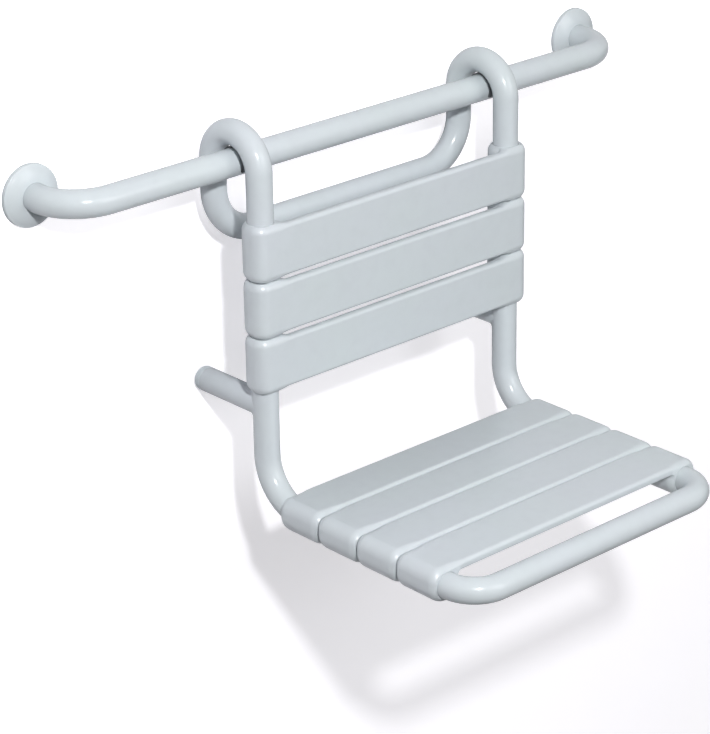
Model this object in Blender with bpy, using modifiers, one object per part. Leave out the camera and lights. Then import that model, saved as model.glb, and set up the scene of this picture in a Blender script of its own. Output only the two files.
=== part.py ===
"""Hang-on shower seat on its wall grab rail.

A plastic-sleeved steel rail carries two hooks of a bent tube frame. Three slats make the backrest
and four make the seat. Two stand-offs below the backrest keep the frame square to the wall.

Frame: X along the wall, the wall is the plane y = 0 with the room at -Y, +Z up.
The origin lies on the wall, level with the rail and halfway along it.
"""
import math

import bmesh
import bpy
from mathutils import Matrix, Vector

# Fits
FIT = 0.0003                    # clearance between touching pieces
CORE_PLAY = 0.0006              # clearance of the steel core inside its plastic sleeve

# Wall rail
RAIL_DIAMETER = 0.033
RAIL_LEG_SPACING = 0.860        # between the two flanges, centre to centre
RAIL_BEND_RADIUS = 0.054
SLEEVE_WALL = 0.003
CORE_WALL = 0.0015

# Wall flanges
FLANGE_DIAMETER = 0.073
FLANGE_COVER_DEPTH = 0.0125
FLANGE_RIM_DEPTH = 0.0055
FLANGE_COVER_WALL = 0.0025
PLATE_THICKNESS = 0.005
FLANGE_SCREW_COUNT = 3
FLANGE_SCREW_DIAMETER = 0.0055
FLANGE_SCREW_HEAD_DIAMETER = 0.0105
FLANGE_SCREW_HEAD_DEPTH = 0.0028
FLANGE_SCREW_LENGTH = 0.038

# Seat frame
FRAME_DIAMETER = 0.031
UPRIGHT_SPACING = 0.392         # between the two uprights, centre to centre
WALL_GAP = 0.0178               # behind the rear legs
HOOK_SLACK = 0.00635            # between the glide and the hook, in front and behind
REAR_LEG_STRAIGHT = 0.0375
REAR_BEND_RADIUS = 0.058
SEAT_BEND_RADIUS = 0.060
FRONT_BEND_RADIUS = 0.040
ARM_TAIL = 0.002                # straight arm between the front slat and the front bend
FRONT_JOINT_INSET = 0.014       # of the front bar's joint inside the front slat
SPIGOT_HALF_LENGTH = 0.0145

# Hook glides
GLIDE_WALL = 0.0018
GLIDE_LENGTH = 0.010
GLIDE_WRAP = math.radians(236.0)

# Slats
SLAT_WIDTH = 0.062
SLAT_WALL = 0.0058              # of the sleeve round the tube at each end
SLAT_PANEL_THICKNESS = 0.0105
SLEEVE_ROUND = 0.012            # rounding of a sleeve towards the slat's edges
SLEEVE_DROP = 0.0046            # how much thinner a sleeve is at the slat's edges
SLEEVE_CORNER = 0.012           # rounding of a sleeve's outer corner, next to the face
PANEL_ROUND = 0.005             # rounding of the panel's edges on its face
PANEL_DROP = 0.0036
PANEL_UNDER_DROP = 0.0012       # easing of the panel's edges on its underside
PANEL_BLEND = 0.026             # from the tube's axis to where the panel has its own edges
BACK_SLAT_COUNT = 3
BACK_SLAT_GAP = 0.0068
BACK_TOP_DROP = 0.065           # top edge of the backrest below the rail
SEAT_SLAT_COUNT = 4
SEAT_SLAT_GAP = 0.0035
SEAT_BEND_COVER = 0.0168        # how far the rear seat slat reaches over the bend
SET_SCREW_DIAMETER = 0.005

# Wall stand-offs
STANDOFF_DIAMETER = 0.030
STANDOFF_DROP = 0.024           # below the bottom edge of the backrest
STANDOFF_TO_ARM = 0.1215
BUFFER_LENGTH = 0.010
BUFFER_EDGE_RADIUS = 0.003

# Faceting
RAIL_SIDES = 16
FRAME_SIDES = 16
CORE_SIDES = 8
BORE_SIDES = 16
TURNED_STEPS = 24
SLAT_END_STEPS = 9              # segments round the back of a slat's end
SLEEVE_CORNER_STEPS = 4         # segments in its outer corner
BEND_STEPS = 5                  # segments in a quarter bend

# Derived sizes
RAIL_RADIUS = RAIL_DIAMETER / 2
FRAME_RADIUS = FRAME_DIAMETER / 2
GLIDE_INNER = RAIL_RADIUS + FIT
GLIDE_OUTER = GLIDE_INNER + GLIDE_WALL
HOOK_INNER = GLIDE_OUTER + FIT + HOOK_SLACK
HOOK_RADIUS = HOOK_INNER + FRAME_RADIUS
HOOK_Z = GLIDE_OUTER + FIT - HOOK_INNER
RAIL_Y = -(WALL_GAP + FRAME_RADIUS + HOOK_RADIUS)
UPRIGHT_X = UPRIGHT_SPACING / 2
UPRIGHT_Y = RAIL_Y - HOOK_RADIUS
REAR_LEG_Y = RAIL_Y + HOOK_RADIUS
REAR_BAR_Z = HOOK_Z - REAR_LEG_STRAIGHT - REAR_BEND_RADIUS
REAR_JOINT_Z = HOOK_Z - REAR_LEG_STRAIGHT / 2
BACK_PITCH = SLAT_WIDTH + BACK_SLAT_GAP
BACK_BOTTOM_Z = -(BACK_TOP_DROP + BACK_SLAT_COUNT * BACK_PITCH - BACK_SLAT_GAP)
STANDOFF_Z = BACK_BOTTOM_Z - STANDOFF_DROP
ARM_Z = STANDOFF_Z - STANDOFF_TO_ARM
SEAT_PITCH = SLAT_WIDTH + SEAT_SLAT_GAP
SEAT_REAR_Y = UPRIGHT_Y - SEAT_BEND_RADIUS + SEAT_BEND_COVER
SEAT_FRONT_Y = SEAT_REAR_Y - SEAT_SLAT_COUNT * SEAT_PITCH + SEAT_SLAT_GAP
FRONT_BAR_Y = SEAT_FRONT_Y - ARM_TAIL - FRONT_BEND_RADIUS
FRONT_JOINT_Y = SEAT_FRONT_Y + FRONT_JOINT_INSET
FLANGE_X = RAIL_LEG_SPACING / 2
PLATE_RADIUS = FLANGE_DIAMETER / 2 - FLANGE_COVER_WALL - FIT
SCREW_CIRCLE = (RAIL_RADIUS + PLATE_RADIUS) / 2
CORE_SHRINK = SLEEVE_WALL + CORE_PLAY
FRAME_CORE_RADIUS = FRAME_RADIUS - CORE_SHRINK
SPIGOT_RADIUS = (FRAME_CORE_RADIUS - CORE_WALL) * math.cos(math.pi / CORE_SIDES) - FIT
SLAT_FACE = FRAME_RADIUS + FIT + SLAT_WALL

SIDES = {"left": -1.0, "right": 1.0}


def clear_scene():
    """Remove every object, so that the script starts from an empty scene."""
    for item in list(bpy.data.objects):
        bpy.data.objects.remove(item, do_unlink=True)


def make_collection(name):
    """Return a new collection that is linked to the scene."""
    collection = bpy.data.collections.new(name)
    bpy.context.scene.collection.children.link(collection)
    return collection


def make_material(name, colour, roughness, metallic=0.0):
    """Return a plain Principled material."""
    material = bpy.data.materials.new(name)
    material.use_nodes = True
    shader = material.node_tree.nodes["Principled BSDF"]
    shader.inputs["Base Color"].default_value = (*colour, 1.0)
    shader.inputs["Roughness"].default_value = roughness
    shader.inputs["Metallic"].default_value = metallic
    return material


clear_scene()
PARTS = make_collection("hang_on_shower_seat")
CUTTERS = make_collection("cutters")
POLYAMIDE = make_material("polyamide", (0.64, 0.675, 0.70), 0.28)
STEEL = make_material("steel", (0.56, 0.57, 0.58), 0.35, 1.0)
GLIDE_PLASTIC = make_material("glide_plastic", (0.045, 0.05, 0.055), 0.5)
RUBBER = make_material("buffer_rubber", (0.60, 0.635, 0.66), 0.45)


def make_empty(name, location):
    """Return an empty that carries the pieces which move together."""
    empty = bpy.data.objects.new(name, None)
    empty.location = location
    PARTS.objects.link(empty)
    bpy.context.view_layer.update()
    return empty


def place(name, mesh, material, parent=None, matrix=None):
    """Make a finished part from a mesh and put it under its parent.

    Args:
        name: Name of the part.
        mesh: Its mesh, in the coordinates that matrix takes to the object's frame.
        material: Its material.
        parent: Empty that carries it.
        matrix: Placement of the mesh.

    Returns:
        The new object.
    """
    item = bpy.data.objects.new(name, mesh)
    PARTS.objects.link(item)
    mesh.materials.clear()
    mesh.materials.append(material)
    mesh.shade_smooth()
    mesh.set_sharp_from_angle(angle=math.radians(35.0))
    if parent is not None:
        item.parent = parent
        item.matrix_parent_inverse = parent.matrix_world.inverted()
    if matrix is not None:
        item.matrix_basis = matrix
    return item


def make_cutter(name, mesh, matrix=None):
    """Make an object that only cuts others."""
    item = bpy.data.objects.new(name, mesh)
    CUTTERS.objects.link(item)
    item.hide_render = True
    item.display_type = 'WIRE'
    if matrix is not None:
        item.matrix_world = matrix
    return item


def cut(item, cutter):
    """Take a cutter's shape out of a part."""
    modifier = item.modifiers.new(cutter.name, 'BOOLEAN')
    modifier.operation = 'DIFFERENCE'
    modifier.solver = 'EXACT'
    modifier.object = cutter


def circumscribed(radius, sides):
    """Return the corner radius of a polygon whose flats lie at the given radius."""
    return radius / math.cos(math.pi / sides)


def filleted(corners, radii, steps=BEND_STEPS):
    """Return the points of a path with a round bend at each inner corner.

    Args:
        corners: Corner points, with the two ends.
        radii: Bend radius at each inner corner.
        steps: Segments in each quarter bend.

    Returns:
        A list of Vectors.
    """
    points = [Vector(corners[0])]
    for before, corner, after, radius in zip(corners, corners[1:], corners[2:], radii):
        corner = Vector(corner)
        inward = (Vector(before) - corner).normalized()
        outward = (Vector(after) - corner).normalized()
        centre = corner + radius * (inward + outward)
        for step in range(steps + 1):
            turn = 0.5 * math.pi * step / steps
            arm = math.cos(turn) * outward + math.sin(turn) * inward
            point = centre - radius * arm
            if (point - points[-1]).length > FIT:
                points.append(point)
    end = Vector(corners[-1])
    if (end - points[-1]).length > FIT:
        points.append(end)
    return points


def mesh_from_curve(name, curve):
    """Return a curve's surface as a mesh with its caps welded on."""
    holder = bpy.data.objects.new(name, curve)
    PARTS.objects.link(holder)
    graph = bpy.context.evaluated_depsgraph_get()
    mesh = bpy.data.meshes.new_from_object(holder.evaluated_get(graph))
    bpy.data.objects.remove(holder, do_unlink=True)
    work = bmesh.new()
    work.from_mesh(mesh)
    bmesh.ops.remove_doubles(work, verts=work.verts, dist=1e-6)
    bmesh.ops.dissolve_limit(work, angle_limit=math.radians(0.5), verts=work.verts, edges=work.edges)
    bmesh.ops.recalc_face_normals(work, faces=work.faces)
    work.to_mesh(mesh)
    work.free()
    return mesh


def swept_mesh(name, points, radius, sides, closed=False, capped=False):
    """Return the mesh of a round tube along a path."""
    curve = bpy.data.curves.new(name, 'CURVE')
    curve.dimensions = '3D'
    curve.bevel_depth = radius
    curve.bevel_resolution = sides // 2 - 2
    curve.use_fill_caps = capped
    spline = curve.splines.new('POLY')
    spline.points.add(len(points) - 1)
    for target, point in zip(spline.points, points):
        target.co = (*point, 1.0)
    spline.use_cyclic_u = closed
    return mesh_from_curve(name, curve)


def hollow_tube(name, points, radius, wall, sides, material, parent=None):
    """Make an open tube with a wall along a path."""
    item = place(name, swept_mesh(name, points, radius, sides), material, parent)
    solid = item.modifiers.new("wall", 'SOLIDIFY')
    solid.thickness = wall
    solid.offset = -1.0
    solid.use_even_offset = True
    return item


def filled_mesh(name, outline, thickness):
    """Return the mesh of a flat outline, extruded to a thickness about z = 0."""
    curve = bpy.data.curves.new(name, 'CURVE')
    curve.dimensions = '2D'
    curve.fill_mode = 'BOTH'
    curve.extrude = thickness / 2
    spline = curve.splines.new('POLY')
    spline.points.add(len(outline) - 1)
    for target, (u, v) in zip(spline.points, outline):
        target.co = (u, v, 0.0, 1.0)
    spline.use_cyclic_u = True
    return mesh_from_curve(name, curve)


def cylinder_mesh(name, radius, length, sides, tip_radius=None):
    """Return a closed cylinder or cone along +Z that starts at z = 0."""
    work = bmesh.new()
    bmesh.ops.create_cone(work, cap_ends=True, segments=sides, radius1=radius,
                          radius2=radius if tip_radius is None else tip_radius, depth=length,
                          matrix=Matrix.Translation((0.0, 0.0, length / 2)))
    mesh = bpy.data.meshes.new(name)
    work.to_mesh(mesh)
    work.free()
    return mesh


def box_mesh(name, low, high):
    """Return a box between two corners."""
    low = Vector(low)
    high = Vector(high)
    work = bmesh.new()
    bmesh.ops.create_cube(work, size=1.0)
    bmesh.ops.scale(work, vec=high - low, verts=work.verts)
    bmesh.ops.translate(work, vec=(low + high) / 2, verts=work.verts)
    mesh = bpy.data.meshes.new(name)
    work.to_mesh(mesh)
    work.free()
    return mesh


def turned(name, profile, material, parent=None, matrix=None, steps=TURNED_STEPS):
    """Make a turned part from a profile of (radius, height) points, top of its outer side first.

    A profile whose ends lie off the axis is closed into a ring.
    """
    mesh = bpy.data.meshes.new(name)
    points = [(radius, 0.0, height) for radius, height in profile]
    edges = [(index, index + 1) for index in range(len(points) - 1)]
    if profile[0][0] > 0.0:
        edges.append((len(points) - 1, 0))
    mesh.from_pydata(points, edges, [])
    item = place(name, mesh, material, parent, matrix)
    screw = item.modifiers.new("turn", 'SCREW')
    screw.steps = steps
    screw.render_steps = steps
    screw.use_merge_vertices = True
    screw.merge_threshold = 1e-5
    return item


def side_path(side):
    """Return one side of the frame, from its rear joint over the hook to its front joint."""
    x = side * UPRIGHT_X
    top = HOOK_Z + HOOK_RADIUS
    return filleted(
        [(x, REAR_LEG_Y, REAR_JOINT_Z + FIT / 2), (x, REAR_LEG_Y, top), (x, UPRIGHT_Y, top),
         (x, UPRIGHT_Y, ARM_Z), (x, FRONT_JOINT_Y + FIT / 2, ARM_Z)],
        [HOOK_RADIUS, HOOK_RADIUS, SEAT_BEND_RADIUS])


def rear_path():
    """Return the rear bar from the left rear joint to the right one."""
    end_z = REAR_JOINT_Z - FIT / 2
    return filleted(
        [(-UPRIGHT_X, REAR_LEG_Y, end_z), (-UPRIGHT_X, REAR_LEG_Y, REAR_BAR_Z),
         (UPRIGHT_X, REAR_LEG_Y, REAR_BAR_Z), (UPRIGHT_X, REAR_LEG_Y, end_z)],
        [REAR_BEND_RADIUS, REAR_BEND_RADIUS])


def front_path():
    """Return the front bar from the left front joint to the right one."""
    end_y = FRONT_JOINT_Y - FIT / 2
    return filleted(
        [(-UPRIGHT_X, end_y, ARM_Z), (-UPRIGHT_X, FRONT_BAR_Y, ARM_Z),
         (UPRIGHT_X, FRONT_BAR_Y, ARM_Z), (UPRIGHT_X, end_y, ARM_Z)],
        [FRONT_BEND_RADIUS, FRONT_BEND_RADIUS])


def envelope_path(side):
    """Return the room that one upright and its arm take, for the bores in the slats."""
    x = side * UPRIGHT_X
    return filleted(
        [(x, UPRIGHT_Y, HOOK_Z), (x, UPRIGHT_Y, ARM_Z), (x, FRONT_BAR_Y + FRONT_BEND_RADIUS, ARM_Z)],
        [SEAT_BEND_RADIUS])


def build_rail():
    """Build the rail with its steel core."""
    end_y = -(PLATE_THICKNESS + FIT)
    points = filleted(
        [(-FLANGE_X, end_y, 0.0), (-FLANGE_X, RAIL_Y, 0.0), (FLANGE_X, RAIL_Y, 0.0), (FLANGE_X, end_y, 0.0)],
        [RAIL_BEND_RADIUS, RAIL_BEND_RADIUS])
    hollow_tube("rail_sleeve", points, RAIL_RADIUS, SLEEVE_WALL, RAIL_SIDES, POLYAMIDE)
    hollow_tube("rail_core", points, RAIL_RADIUS - CORE_SHRINK, CORE_WALL, CORE_SIDES, STEEL)


def build_flange(name, side):
    """Build one wall flange: plate, cover and screws.

    The turned pieces have their height along -Y, away from the wall.
    """
    facing = Matrix.Translation((side * FLANGE_X, 0.0, 0.0)) @ Matrix.Rotation(math.pi / 2, 4, 'X')
    plate_mesh = cylinder_mesh(name + "_flange_plate", PLATE_RADIUS, PLATE_THICKNESS, TURNED_STEPS)
    plate = place(name + "_flange_plate", plate_mesh, STEEL, matrix=facing)
    outer = FLANGE_DIAMETER / 2
    hole = circumscribed(RAIL_RADIUS + FIT, TURNED_STEPS)
    inner = outer - FLANGE_COVER_WALL
    ceiling = FLANGE_COVER_DEPTH - FLANGE_COVER_WALL
    shoulder = (outer + hole) / 2
    crown = FLANGE_RIM_DEPTH + 0.75 * (FLANGE_COVER_DEPTH - FLANGE_RIM_DEPTH)
    turned(name + "_flange_cover",
           [(hole, FLANGE_COVER_DEPTH), (shoulder, crown), (outer, FLANGE_RIM_DEPTH), (outer, 0.0),
            (inner, 0.0), (inner, PLATE_THICKNESS + FIT), (hole, ceiling)],
           POLYAMIDE, matrix=facing)
    shank = FLANGE_SCREW_DIAMETER / 2
    head = FLANGE_SCREW_HEAD_DIAMETER / 2
    for index in range(FLANGE_SCREW_COUNT):
        turn = math.pi / 2 + 2 * math.pi * index / FLANGE_SCREW_COUNT
        spot = facing @ Matrix.Translation((SCREW_CIRCLE * math.cos(turn), SCREW_CIRCLE * math.sin(turn), 0.0))
        seat = PLATE_THICKNESS - FLANGE_SCREW_HEAD_DEPTH
        room = FIT / math.cos(math.pi / 12) + FIT
        label = f"{name}_flange_screw_{index + 1}"
        bore = make_cutter(label + "_bore", cylinder_mesh(label, shank + room, 3 * PLATE_THICKNESS, 12),
                           spot @ Matrix.Translation((0.0, 0.0, -PLATE_THICKNESS)))
        cut(plate, bore)
        flare = head - shank
        rise = 2 * FIT
        sink_mesh = cylinder_mesh(label, shank + room, FLANGE_SCREW_HEAD_DEPTH + rise, 12,
                                  head + room + flare * rise / FLANGE_SCREW_HEAD_DEPTH)
        cut(plate, make_cutter(label + "_sink", sink_mesh, spot @ Matrix.Translation((0.0, 0.0, seat))))
        turned(label,
               [(0.0, PLATE_THICKNESS), (head, PLATE_THICKNESS), (shank, seat),
                (shank, PLATE_THICKNESS - FLANGE_SCREW_LENGTH + 2 * shank),
                (0.0, PLATE_THICKNESS - FLANGE_SCREW_LENGTH)],
               STEEL, matrix=spot, steps=12)


def build_glide(name, side, parent):
    """Build the clip that one hook rides on: a ring round the rail that is open below."""
    steps = 4 * BEND_STEPS
    turns = [math.pi / 2 + GLIDE_WRAP * (step / steps - 0.5) for step in range(steps + 1)]
    inner = circumscribed(GLIDE_INNER, int(2 * math.pi * steps / GLIDE_WRAP))
    outline = [(GLIDE_OUTER * math.cos(turn), GLIDE_OUTER * math.sin(turn)) for turn in turns]
    outline += [(inner * math.cos(turn), inner * math.sin(turn)) for turn in reversed(turns)]
    mesh = filled_mesh(name, outline, GLIDE_LENGTH)
    turn = Matrix(((0.0, 0.0, 1.0, side * UPRIGHT_X), (1.0, 0.0, 0.0, RAIL_Y),
                   (0.0, 1.0, 0.0, 0.0), (0.0, 0.0, 0.0, 1.0)))
    place(name, mesh, GLIDE_PLASTIC, parent, turn)


def build_frame(parent):
    """Build the tube frame: sleeves, cores and the spigots that join them."""
    runs = {"left_side": side_path(-1.0), "right_side": side_path(1.0),
            "rear_bar": rear_path(), "front_bar": front_path()}
    for name, points in runs.items():
        hollow_tube(name + "_sleeve", points, FRAME_RADIUS, SLEEVE_WALL, FRAME_SIDES, POLYAMIDE, parent)
        hollow_tube(name + "_core", points, FRAME_CORE_RADIUS, CORE_WALL, CORE_SIDES, STEEL, parent)
    for name, side in SIDES.items():
        rear = Matrix.Translation((side * UPRIGHT_X, REAR_LEG_Y, REAR_JOINT_Z - SPIGOT_HALF_LENGTH))
        front = (Matrix.Translation((side * UPRIGHT_X, FRONT_JOINT_Y + SPIGOT_HALF_LENGTH, ARM_Z))
                 @ Matrix.Rotation(math.pi / 2, 4, 'X'))
        for label, matrix in (("rear", rear), ("front", front)):
            part = f"{name}_{label}_spigot"
            mesh = cylinder_mesh(part, SPIGOT_RADIUS, 2 * SPIGOT_HALF_LENGTH, CORE_SIDES)
            place(part, mesh, STEEL, parent, matrix)


def build_standoff(name, side, parent, envelope):
    """Build one wall stand-off with its end buffer."""
    x = side * UPRIGHT_X
    radius = STANDOFF_DIAMETER / 2
    reach = -UPRIGHT_Y - BUFFER_LENGTH - FIT
    toward_wall = Matrix.Translation((x, UPRIGHT_Y, STANDOFF_Z)) @ Matrix.Rotation(-math.pi / 2, 4, 'X')
    bar = place(name + "_standoff", cylinder_mesh(name + "_standoff", radius, reach, FRAME_SIDES + 4),
                POLYAMIDE, parent, toward_wall)
    cut(bar, envelope)
    room = make_cutter(name + "_standoff_front", box_mesh(name, (-radius - FIT, -radius - FIT, -FRAME_RADIUS),
                                                          (radius + FIT, radius + FIT, FRAME_RADIUS / 2)),
                       toward_wall)
    cut(bar, room)
    end = toward_wall @ Matrix.Translation((0.0, 0.0, reach + FIT))
    flat = radius - BUFFER_EDGE_RADIUS
    round_edge = []
    for step in range(4):
        turn = 0.5 * math.pi * step / 3
        round_edge.append((flat + BUFFER_EDGE_RADIUS * math.sin(turn),
                           BUFFER_LENGTH - BUFFER_EDGE_RADIUS * (1.0 - math.cos(turn))))
    turned(name + "_wall_buffer", [(0.0, BUFFER_LENGTH)] + round_edge + [(radius, 0.0), (0.0, 0.0)],
           RUBBER, parent, end, steps=FRAME_SIDES + 4)


def slat_ring(across):
    """Return the outline of a slat along its length, at one place across it.

    The outline is a flat panel between two sleeves, round behind and squarer next to the face. Sleeves and
    panel thin out towards the slat's edges.

    Args:
        across: Distance from the nearer edge of the slat.

    Returns:
        A list of Vectors with the tubes' axes at z = 0.
    """
    turn = math.acos(1.0 - SLEEVE_DROP / SLEEVE_ROUND)
    run = max(0.0, SLEEVE_ROUND * math.sin(turn) - across)
    sleeve = SLAT_FACE - (SLEEVE_ROUND - math.sqrt(SLEEVE_ROUND ** 2 - run ** 2))
    run = max(0.0, PANEL_ROUND - across)
    drop = min(PANEL_DROP, PANEL_ROUND - math.sqrt(PANEL_ROUND ** 2 - run ** 2))
    face = SLAT_FACE - drop
    under = SLAT_FACE - SLAT_PANEL_THICKNESS + PANEL_UNDER_DROP * max(0.0, 1.0 - across / PANEL_UNDER_DROP)
    right = [(UPRIGHT_X - PANEL_BLEND, face), (UPRIGHT_X, sleeve)]
    corner = SLAT_FACE - SLEEVE_CORNER
    for step in range(SLEEVE_CORNER_STEPS + 1):
        turn = math.pi / 2 * (1.0 - step / SLEEVE_CORNER_STEPS)
        right.append((UPRIGHT_X + corner + (sleeve - corner) * math.cos(turn),
                      corner + (sleeve - corner) * math.sin(turn)))
    sweep = 1.5 * math.pi - math.acos((SLAT_FACE - SLAT_PANEL_THICKNESS) / SLAT_FACE)
    for step in range(SLAT_END_STEPS + 1):
        turn = -sweep * step / SLAT_END_STEPS
        right.append((UPRIGHT_X + sleeve * math.cos(turn), sleeve * math.sin(turn)))
    right.append((UPRIGHT_X - PANEL_BLEND, under))
    left = [(-x, z) for x, z in reversed(right)]
    return [Vector((x, 0.0, z)) for x, z in right + left]


def slat_mesh(name):
    """Return one slat without its bores, as a skin over outlines across it."""
    turn = math.acos(1.0 - SLEEVE_DROP / SLEEVE_ROUND)
    reach = SLEEVE_ROUND * math.sin(turn)
    places = [0.0, PANEL_UNDER_DROP, PANEL_ROUND / 2, PANEL_ROUND, (PANEL_ROUND + reach) / 2, reach]
    rows = [(place, place) for place in places]
    rows += [(SLAT_WIDTH - place, place) for place in reversed(places)]
    work = bmesh.new()
    rings = []
    for y, across in rows:
        rings.append([work.verts.new((point.x, y, point.z)) for point in slat_ring(across)])
    size = len(rings[0])
    for low, high in zip(rings, rings[1:]):
        for index in range(size):
            after = (index + 1) % size
            work.faces.new((low[index], low[after], high[after], high[index]))
    work.faces.new(rings[0])
    work.faces.new(rings[-1])
    bmesh.ops.recalc_face_normals(work, faces=work.faces)
    bmesh.ops.triangulate(work, faces=work.faces)
    bmesh.ops.dissolve_limit(work, angle_limit=math.radians(0.5), verts=work.verts, edges=work.edges)
    mesh = bpy.data.meshes.new(name)
    work.to_mesh(mesh)
    work.free()
    return mesh


def build_slat(name, parent, matrix, envelopes):
    """Build one slat with its two set screws.

    The slat's own frame has X along it, Y across it and Z out of the face that is sat on,
    with the tubes' axes at z = 0 and its near edge at y = 0.
    """
    slat = place(name, slat_mesh(name), POLYAMIDE, parent, matrix)
    for envelope in envelopes.values():
        cut(slat, envelope)
    radius = SET_SCREW_DIAMETER / 2
    for side_name, side in SIDES.items():
        label = f"{name}_{side_name}_set_screw"
        tip = side * (UPRIGHT_X - FRAME_RADIUS - FIT)
        inward = Matrix.Translation((tip, SLAT_WIDTH / 2, 0.0)) @ Matrix.Rotation(-side * math.pi / 2, 4, 'Y')
        hole_mesh = cylinder_mesh(label, circumscribed(radius + FIT, 10), FRAME_RADIUS + 2 * SLAT_WALL, 10)
        cut(slat, make_cutter(label + "_hole", hole_mesh,
                              matrix @ inward @ Matrix.Translation((0.0, 0.0, -FRAME_RADIUS))))
        place(label, cylinder_mesh(label, radius, SLAT_WALL - FIT, 10), STEEL, parent, matrix @ inward)


def build_slats(parent, envelopes):
    """Build the backrest and the seat."""
    upright = Matrix.Rotation(math.pi / 2, 4, 'X')
    for index in range(BACK_SLAT_COUNT):
        low = -(BACK_TOP_DROP + index * BACK_PITCH + SLAT_WIDTH)
        matrix = Matrix.Translation((0.0, UPRIGHT_Y, low)) @ upright
        build_slat(f"back_slat_{index + 1}", parent, matrix, envelopes)
    for index in range(SEAT_SLAT_COUNT):
        front = SEAT_REAR_Y - index * SEAT_PITCH - SLAT_WIDTH
        build_slat(f"seat_slat_{index + 1}", parent, Matrix.Translation((0.0, front, ARM_Z)), envelopes)


def build():
    """Build the whole object."""
    glides = make_empty("glide_pair", (0.0, RAIL_Y, 0.0))
    seat = make_empty("hanging_seat", (0.0, RAIL_Y, 0.0))
    build_rail()
    envelope_radius = circumscribed(FRAME_RADIUS + FIT, BORE_SIDES)
    envelopes = {}
    for name, side in SIDES.items():
        mesh = swept_mesh(name + "_envelope", envelope_path(side), envelope_radius, BORE_SIDES, capped=True)
        envelopes[name] = make_cutter(name + "_envelope", mesh)
    build_frame(seat)
    for name, side in SIDES.items():
        build_flange(name, side)
        build_glide(name + "_hook_glide", side, glides)
        build_standoff(name, side, seat, envelopes[name])
    build_slats(seat, envelopes)


build()
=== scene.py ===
"""Looks of a hang-on shower seat: tubes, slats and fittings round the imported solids.

Lengths are in metres. X runs along the rail, the wall is at y = 0 and Z points up.
"""

from __future__ import annotations

import logging
from contextlib import contextmanager
from dataclasses import dataclass, replace
from enum import Enum
from math import acos, atan2, cos, pi, radians, sin, sqrt
from typing import Any, Iterable, Iterator, Sequence

import bmesh
import bpy
from bpy.types import Material, Mesh, Node, NodeSocket, NodeTree, Object
from mathutils import Matrix, Vector


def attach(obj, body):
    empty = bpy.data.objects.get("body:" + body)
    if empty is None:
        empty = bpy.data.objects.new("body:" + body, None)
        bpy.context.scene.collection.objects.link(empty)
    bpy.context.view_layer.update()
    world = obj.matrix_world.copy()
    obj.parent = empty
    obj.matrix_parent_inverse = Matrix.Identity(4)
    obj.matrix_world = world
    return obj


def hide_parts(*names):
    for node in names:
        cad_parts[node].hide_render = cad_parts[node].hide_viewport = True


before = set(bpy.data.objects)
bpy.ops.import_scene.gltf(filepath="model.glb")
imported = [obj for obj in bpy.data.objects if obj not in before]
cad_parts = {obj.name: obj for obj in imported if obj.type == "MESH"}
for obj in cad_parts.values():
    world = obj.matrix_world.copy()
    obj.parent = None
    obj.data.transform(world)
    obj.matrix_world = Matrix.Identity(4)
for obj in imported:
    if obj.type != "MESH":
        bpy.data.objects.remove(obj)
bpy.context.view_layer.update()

LOG = logging.getLogger("shower_seat")
SMOOTH_ANGLE = radians(32.0)

# Points closer than this are welded.
WELD = 1e-7
# Room between pieces that touch.
FIT = 0.0003
# The least easing of an edge.
EASE = 0.0002

# Where the rail and the frame's tube run, which several sub-assemblies share.
RAIL_Y = -0.07405
UPRIGHT_X = 0.196
UPRIGHT_Y = -0.1148
ARM_Z = -0.4101
TUBE_RADIUS = 0.0155
TUBE_SIDES = 72

Colour = tuple[float, float, float]
Ring = list[Vector]

BLACK: Colour = (0.0, 0.0, 0.0)


class Side(Enum):
    """The two ends of the seat, with the sign of their x."""

    LEFT = -1
    RIGHT = 1

    @property
    def label(self) -> str:
        """Name of the side as the CAD nodes use it."""
        return self.name.lower()


class Body(Enum):
    """The bodies that pieces ride on."""

    RAIL = "rail"
    GLIDES = "glides"
    SEAT = "seat"


class Slot(Enum):
    """The record's material slots."""

    POLYAMIDE = "polyamide"
    CORE_STEEL = "core_steel"
    SCREW_STEEL = "screw_steel"
    GLIDE_PLASTIC = "glide_plastic"
    BUFFER_RUBBER = "buffer_rubber"


@dataclass
class Wire:
    """A node's output socket that takes part in Python arithmetic."""

    bench: NodeBench
    socket: NodeSocket

    def _maths(self, operation: str, first: Any, second: Any) -> Wire:
        """Add a Math node for two wires or numbers and return its result."""
        return self.bench.wire("Math", {0: first, 1: second}, operation=operation)

    def __add__(self, other: Any) -> Wire:
        """Return self + other."""
        return self._maths("ADD", self, other)

    def __radd__(self, other: Any) -> Wire:
        """Return other + self."""
        return self._maths("ADD", other, self)

    def __sub__(self, other: Any) -> Wire:
        """Return self - other."""
        return self._maths("SUBTRACT", self, other)

    def __rsub__(self, other: Any) -> Wire:
        """Return other - self."""
        return self._maths("SUBTRACT", other, self)

    def __mul__(self, other: Any) -> Wire:
        """Return self * other."""
        return self._maths("MULTIPLY", self, other)

    def __rmul__(self, other: Any) -> Wire:
        """Return other * self."""
        return self._maths("MULTIPLY", other, self)

    def highest(self, other: Any) -> Wire:
        """Return the larger of self and other."""
        return self._maths("MAXIMUM", self, other)

    def lowest(self, other: Any) -> Wire:
        """Return the smaller of self and other."""
        return self._maths("MINIMUM", self, other)

    def under(self, other: Any) -> Wire:
        """Return 1 where self is less than other, and else 0."""
        return self._maths("LESS_THAN", self, other)

    def swing(self, amount: float, mean: float = 0.5) -> Wire:
        """Return a noise's swing about a mean, times an amount."""
        return (self - mean) * amount


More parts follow.
